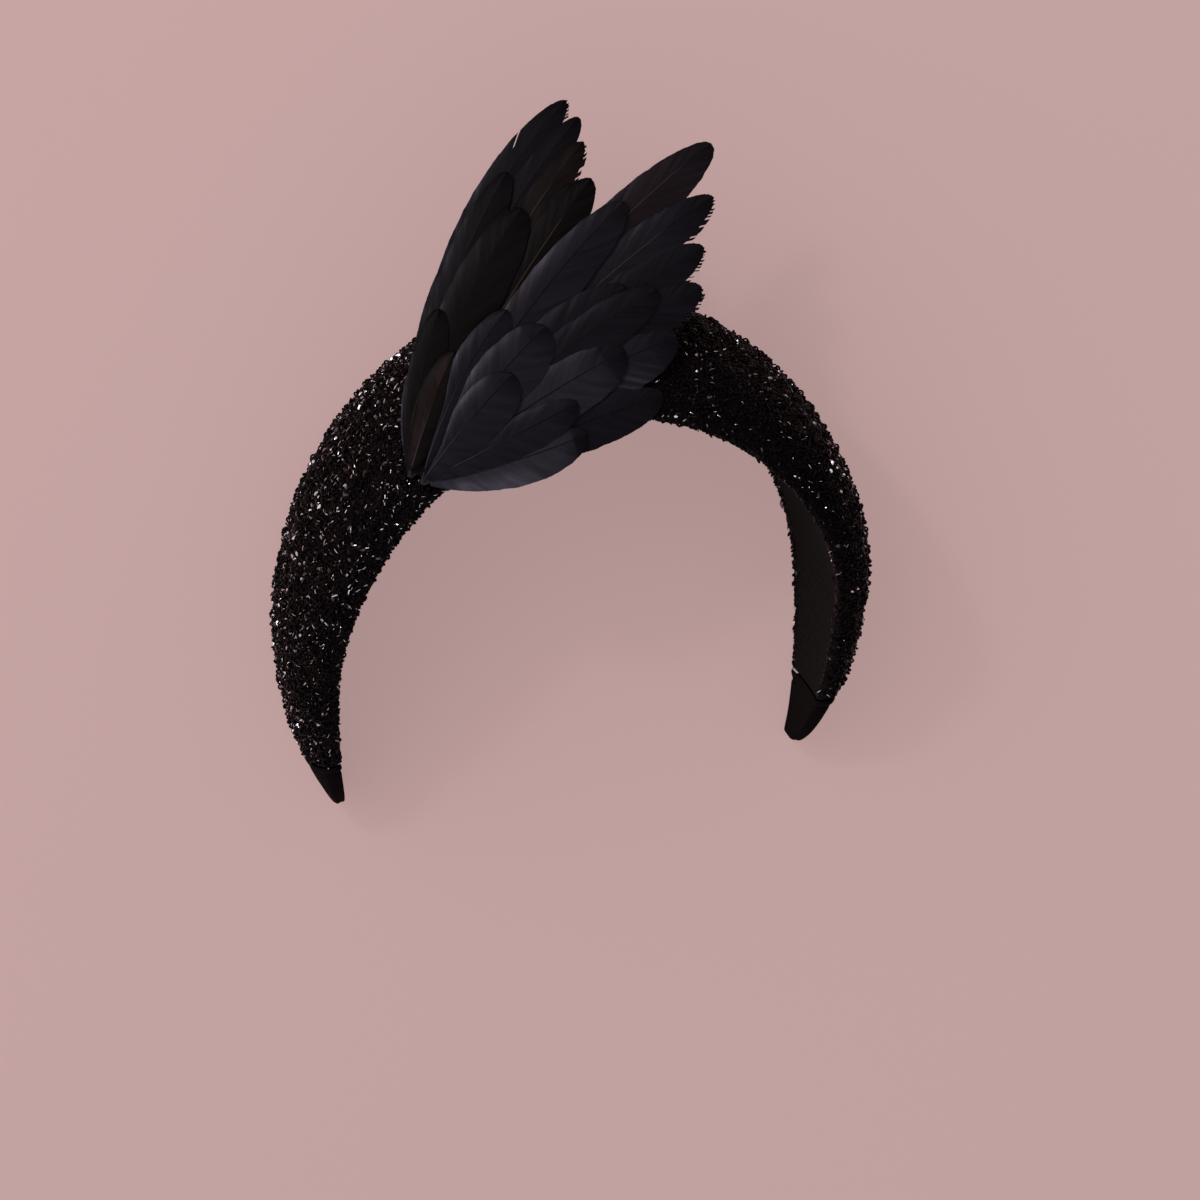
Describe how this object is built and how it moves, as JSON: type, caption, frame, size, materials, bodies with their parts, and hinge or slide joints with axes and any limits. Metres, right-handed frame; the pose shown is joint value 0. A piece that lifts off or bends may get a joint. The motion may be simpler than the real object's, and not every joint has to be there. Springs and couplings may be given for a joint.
{
  "type": "fascinator headband",
  "caption": "Padded halo headband covered in black glittering knit, with black feather wings sewn on over the wearer's right brow and spreading up over the crown.",
  "frame": {"origin": "middle of the flat rear hem at the crown, on the plane that the band rests on", "axes": "+X towards the wearer's left, +Y out of the crown, +Z from the rear hem to the front edge"},
  "size_m": [0.1792, 0.2225, 0.0863],
  "materials": {
    "glitter_knit": "black loop knit with glittering strands",
    "plain_cloth": "matte",
    "rear_feathers": "satin black feather",
    "front_feathers": "satin black feather"
  },
  "bodies": {
    "root": {"halo_band": "glitter_knit", "end_cap_right": "plain_cloth", "end_cap_left": "plain_cloth", "wing_pad": "plain_cloth", "rear_primary_1": "rear_feathers", "rear_primary_2": "rear_feathers", "rear_primary_3": "rear_feathers", "rear_primary_4": "rear_feathers", "rear_primary_5": "rear_feathers", "rear_primary_6": "rear_feathers", "rear_primary_7": "rear_feathers", "rear_primary_8": "rear_feathers", "rear_covert_1": "rear_feathers", "rear_covert_2": "rear_feathers", "rear_covert_3": "rear_feathers", "rear_covert_4": "rear_feathers", "rear_small_covert_1": "rear_feathers", "rear_small_covert_2": "rear_feathers", "rear_small_covert_3": "rear_feathers", "rear_small_covert_4": "rear_feathers", "front_primary_1": "front_feathers", "front_primary_2": "front_feathers", "front_primary_3": "front_feathers", "front_primary_4": "front_feathers", "front_primary_5": "front_feathers", "front_primary_6": "front_feathers", "front_covert_1": "front_feathers", "front_covert_2": "front_feathers", "front_covert_3": "front_feathers", "front_covert_4": "front_feathers", "front_covert_5": "front_feathers", "front_small_covert_1": "front_feathers", "front_small_covert_2": "front_feathers", "front_small_covert_3": "front_feathers", "front_small_covert_4": "front_feathers"}
  },
  "joints": []
}
